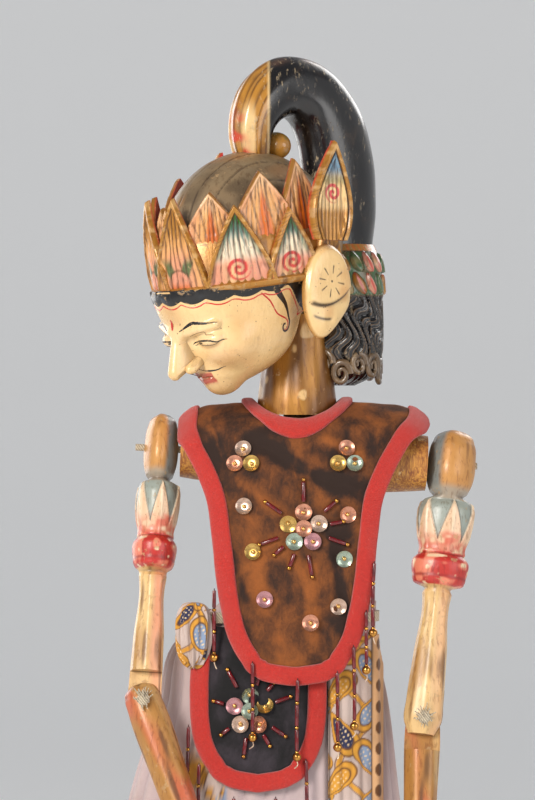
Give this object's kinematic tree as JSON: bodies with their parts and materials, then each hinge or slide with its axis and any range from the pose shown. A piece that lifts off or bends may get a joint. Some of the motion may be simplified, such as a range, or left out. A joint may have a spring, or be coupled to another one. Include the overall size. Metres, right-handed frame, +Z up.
{
  "type": "wayang golek rod puppet",
  "caption": "Carved wooden rod puppet with turned head, crown and arched hair, velvet bib, apron, cotton skirt and cord-jointed arms worked by rods.",
  "frame": {"origin": "on the central rod's axis, where its straight grip begins above the spike", "axes": "+Z up along the rod, -Y the way the chest faces, +X the puppet's own left"},
  "size_m": [0.1813, 0.1105, 0.6353],
  "materials": {
    "rod_wood": "turned, worn",
    "painted_face": "gloss cream paint with dirt",
    "gilt_leaf": "carved, gilt and painted",
    "black_lacquer": "worn gloss lacquer",
    "torso_wood": "ochre paint over wood",
    "painted_arm": "flaking cream, ochre and red paint",
    "forearm_wood": "ochre paint over wood",
    "cotton_cord": "twisted cotton",
    "brown_velvet": "velvet",
    "red_felt": "felt",
    "black_velvet": "velvet",
    "mauve_cotton": "crumpled plain weave",
    "printed_cotton": "wax-resist print",
    "sequins": "iridescent",
    "glass_beads": "dark red glass and brass"
  },
  "bodies": {
    "rod": {"central_rod": "rod_wood", "head": "painted_face", "crown": "gilt_leaf", "hair_arch": "black_lacquer", "ear_leaf_left": "gilt_leaf", "ear_leaf_right": "gilt_leaf"},
    "torso": {"torso": "torso_wood", "shoulder_cord": "cotton_cord", "tabard": "brown_velvet", "tabard_trim": "red_felt", "collar_trim": "red_felt", "tabard_sequins": "sequins", "tabard_beads": "glass_beads", "apron": "black_velvet", "apron_trim": "red_felt", "apron_sequins": "sequins", "apron_beads": "glass_beads", "skirt": "mauve_cotton", "waist_cord": "cotton_cord", "front_panel": "printed_cotton", "hip_knot": "printed_cotton"},
    "upper_arm_right": {"upper_arm_right": "painted_arm", "elbow_cord_right": "cotton_cord"},
    "forearm_right": {"forearm_right": "forearm_wood", "hand_tie_right": "cotton_cord"},
    "arm_rod_right": {"arm_rod_right": "rod_wood"},
    "upper_arm_left": {"upper_arm_left": "painted_arm", "elbow_cord_left": "cotton_cord"},
    "forearm_left": {"forearm_left": "forearm_wood", "hand_tie_left": "cotton_cord"},
    "arm_rod_left": {"arm_rod_left": "rod_wood"}
  },
  "joints": [
    {"name": "torso_turn", "type": "hinge", "parent": "rod", "child": "torso", "pos_m": [0, 0, 0.33], "axis": [0, 0, 1], "continuous": true},
    {"name": "shoulder_right", "type": "hinge", "parent": "torso", "child": "upper_arm_right", "pos_m": [-0.0598, 0, 0.44101], "axis": [-0.9984, 0, 0.0558], "range_deg": [0, 95]},
    {"name": "elbow_right", "type": "hinge", "parent": "upper_arm_right", "child": "forearm_right", "pos_m": [-0.06611, -0.0292, 0.33203], "axis": [0, 0.9659, -0.2588], "range_deg": [-8, 100]},
    {"name": "arm_rod_swing_right", "type": "hinge", "parent": "forearm_right", "child": "arm_rod_right", "pos_m": [-0.03533, -0.06123, 0.25306], "axis": [0, 0.9659, -0.2588], "range_deg": [-10, 60]},
    {"name": "shoulder_left", "type": "hinge", "parent": "torso", "child": "upper_arm_left", "pos_m": [0.068, 0, 0.43387], "axis": [-0.9984, 0, 0.0558], "range_deg": [0, 110]},
    {"name": "elbow_left", "type": "hinge", "parent": "upper_arm_left", "child": "forearm_left", "pos_m": [0.05423, -0.02332, 0.32416], "axis": [0, -0.9781, 0.2079], "range_deg": [-8, 100]},
    {"name": "arm_rod_swing_left", "type": "hinge", "parent": "forearm_left", "child": "arm_rod_left", "pos_m": [0.0503, -0.05228, 0.23839], "axis": [0, -0.9781, 0.2079], "range_deg": [-10, 60]}
  ]
}
